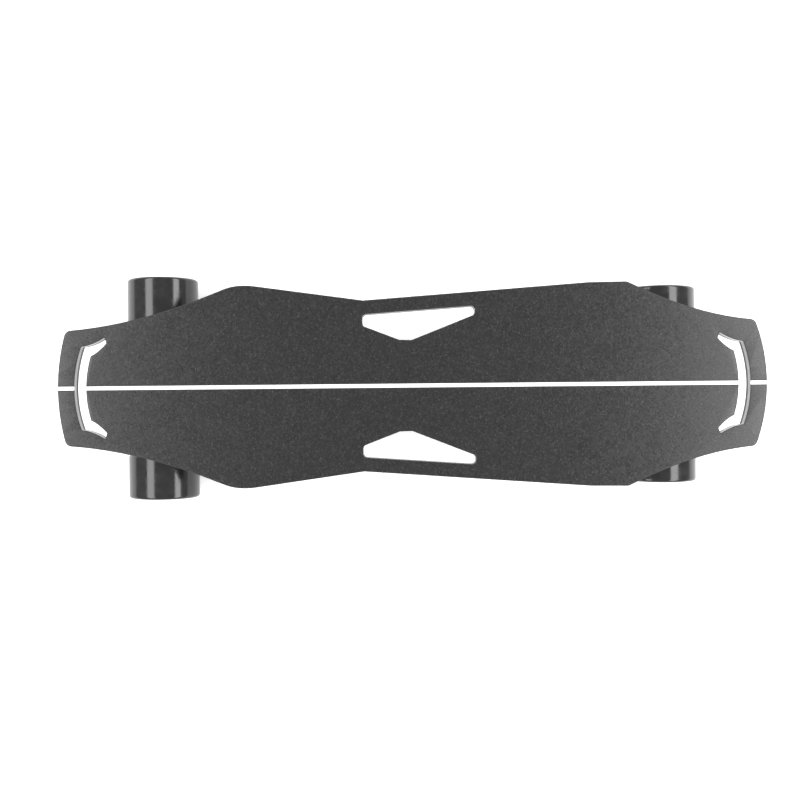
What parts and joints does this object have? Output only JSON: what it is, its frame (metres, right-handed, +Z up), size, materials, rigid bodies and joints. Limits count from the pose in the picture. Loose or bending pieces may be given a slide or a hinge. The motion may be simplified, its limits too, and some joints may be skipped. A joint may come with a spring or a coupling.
{
  "type": "electric skateboard",
  "caption": "Low electric skateboard: flat waisted deck with end handle slots and side holes, steering trucks, plain front wheels and hub-motor rear wheels.",
  "frame": {"origin": "on the ground under the middle of the deck, wheels standing on z = 0", "axes": "+X to the front, +Y to the rider's left, +Z up"},
  "size_m": [0.8, 0.26, 0.1175],
  "materials": {
    "grey_metal": "satin bright cut edges",
    "grip": "fine dark grit with a faint sparkle",
    "stripe": "smooth white",
    "cover_black": "satin black powder coat",
    "tray_black": "fine moulded texture",
    "black_screw": "black oxide",
    "steel": "plated steel",
    "gasket_rubber": "soft black",
    "cell_wrap": "shrink wrapped cell",
    "holder_plastic": "moulded",
    "circuit_board": "solder mask",
    "sink_aluminium": "extruded",
    "wire_jacket": "silicone jacket",
    "socket_plastic": "moulded",
    "lens": "frosted window",
    "truck_metal": "cast and painted dark grey",
    "urethane": "cast urethane",
    "wheel_urethane": "smooth glossy black urethane",
    "core_plastic": "moulded core",
    "rotor_metal": "turned steel",
    "magnet": "nickel plated",
    "motor_cover_black": "black anodised",
    "laminations": "stacked sheets",
    "copper": "enamelled wire",
    "cable_jacket": "braided black sleeve"
  },
  "bodies": {
    "deck": {"deck_plate": "grey_metal", "grip_left": "grip", "grip_right": "grip", "centre_stripe": "stripe", "bottom_cover": "cover_black", "cover_screws": "black_screw", "battery_tray": "tray_black", "controller_tray": "tray_black", "tray_gaskets": "gasket_rubber", "tray_screws": "steel", "battery_cells": "cell_wrap", "cell_holders": "holder_plastic", "bms_board": "circuit_board", "controller_board": "circuit_board", "controller_parts": "holder_plastic", "heat_sink": "sink_aluminium", "power_harness": "wire_jacket", "charge_socket": "socket_plastic", "cap_pin": "steel", "button_bezel": "steel", "button_spring": "steel", "level_lens": "lens", "riser_pads": "gasket_rubber", "front_baseplate": "truck_metal", "rear_baseplate": "truck_metal", "kingpins": "steel", "kingpin_nuts": "steel", "pivot_cups": "urethane", "truck_bolts": "black_screw", "front_bushings": "urethane", "rear_bushings": "urethane", "motor_cables": "cable_jacket", "cable_grommets": "gasket_rubber"},
    "front_truck": {"front_hanger": "truck_metal", "front_axle": "steel", "front_axle_nuts": "steel"},
    "rear_truck": {"rear_hanger": "truck_metal", "rear_axles": "steel", "stators": "laminations", "windings": "copper"},
    "front_left_wheel": {"front_left_tyre": "wheel_urethane", "front_left_core": "core_plastic", "front_left_bearings": "steel"},
    "front_right_wheel": {"front_right_tyre": "wheel_urethane", "front_right_core": "core_plastic", "front_right_bearings": "steel"},
    "rear_left_wheel": {"rear_left_tyre": "wheel_urethane", "rear_left_rotor": "rotor_metal", "rear_left_magnets": "magnet", "rear_left_covers": "motor_cover_black", "rear_left_bearings": "steel", "rear_left_cover_screws": "steel"},
    "rear_right_wheel": {"rear_right_tyre": "wheel_urethane", "rear_right_rotor": "rotor_metal", "rear_right_magnets": "magnet", "rear_right_covers": "motor_cover_black", "rear_right_bearings": "steel", "rear_right_cover_screws": "steel"},
    "button": {"power_button": "socket_plastic"},
    "port_cap": {"charge_cap": "gasket_rubber"}
  },
  "joints": [
    {"name": "front_truck_steer", "type": "hinge", "parent": "deck", "child": "front_truck", "pos_m": [0.277, 0, 0.0595], "axis": [0.866, 0, 0.5], "range_deg": [-10, 10], "stiffness_Nm_per_rad": 60, "deforming": ["front_bushings"]},
    {"name": "rear_truck_steer", "type": "hinge", "parent": "deck", "child": "rear_truck", "pos_m": [-0.277, 0, 0.0595], "axis": [0.866, 0, -0.5], "range_deg": [-10, 10], "stiffness_Nm_per_rad": 60, "deforming": ["rear_bushings", "motor_cables"]},
    {"name": "front_left_spin", "type": "hinge", "parent": "front_truck", "child": "front_left_wheel", "pos_m": [0.297, 0.089, 0.0415], "axis": [0, 1, 0], "continuous": true},
    {"name": "front_right_spin", "type": "hinge", "parent": "front_truck", "child": "front_right_wheel", "pos_m": [0.297, -0.089, 0.0415], "axis": [0, 1, 0], "continuous": true},
    {"name": "rear_left_spin", "type": "hinge", "parent": "rear_truck", "child": "rear_left_wheel", "pos_m": [-0.297, 0.104, 0.0415], "axis": [0, 1, 0], "continuous": true},
    {"name": "rear_right_spin", "type": "hinge", "parent": "rear_truck", "child": "rear_right_wheel", "pos_m": [-0.297, -0.104, 0.0415], "axis": [0, 1, 0], "continuous": true},
    {"name": "power_button_press", "type": "slide", "parent": "deck", "child": "button", "axis": [0, 0, 1], "range_m": [0, 0.0012], "stiffness_N_per_m": 600, "springref_m": -0.0005, "deforming": ["button_spring"]},
    {"name": "charge_cap_hinge", "type": "hinge", "parent": "deck", "child": "port_cap", "pos_m": [-0.19, -0.0845, 0.0964], "axis": [-1, 0, 0], "range_deg": [0, 110]}
  ]
}
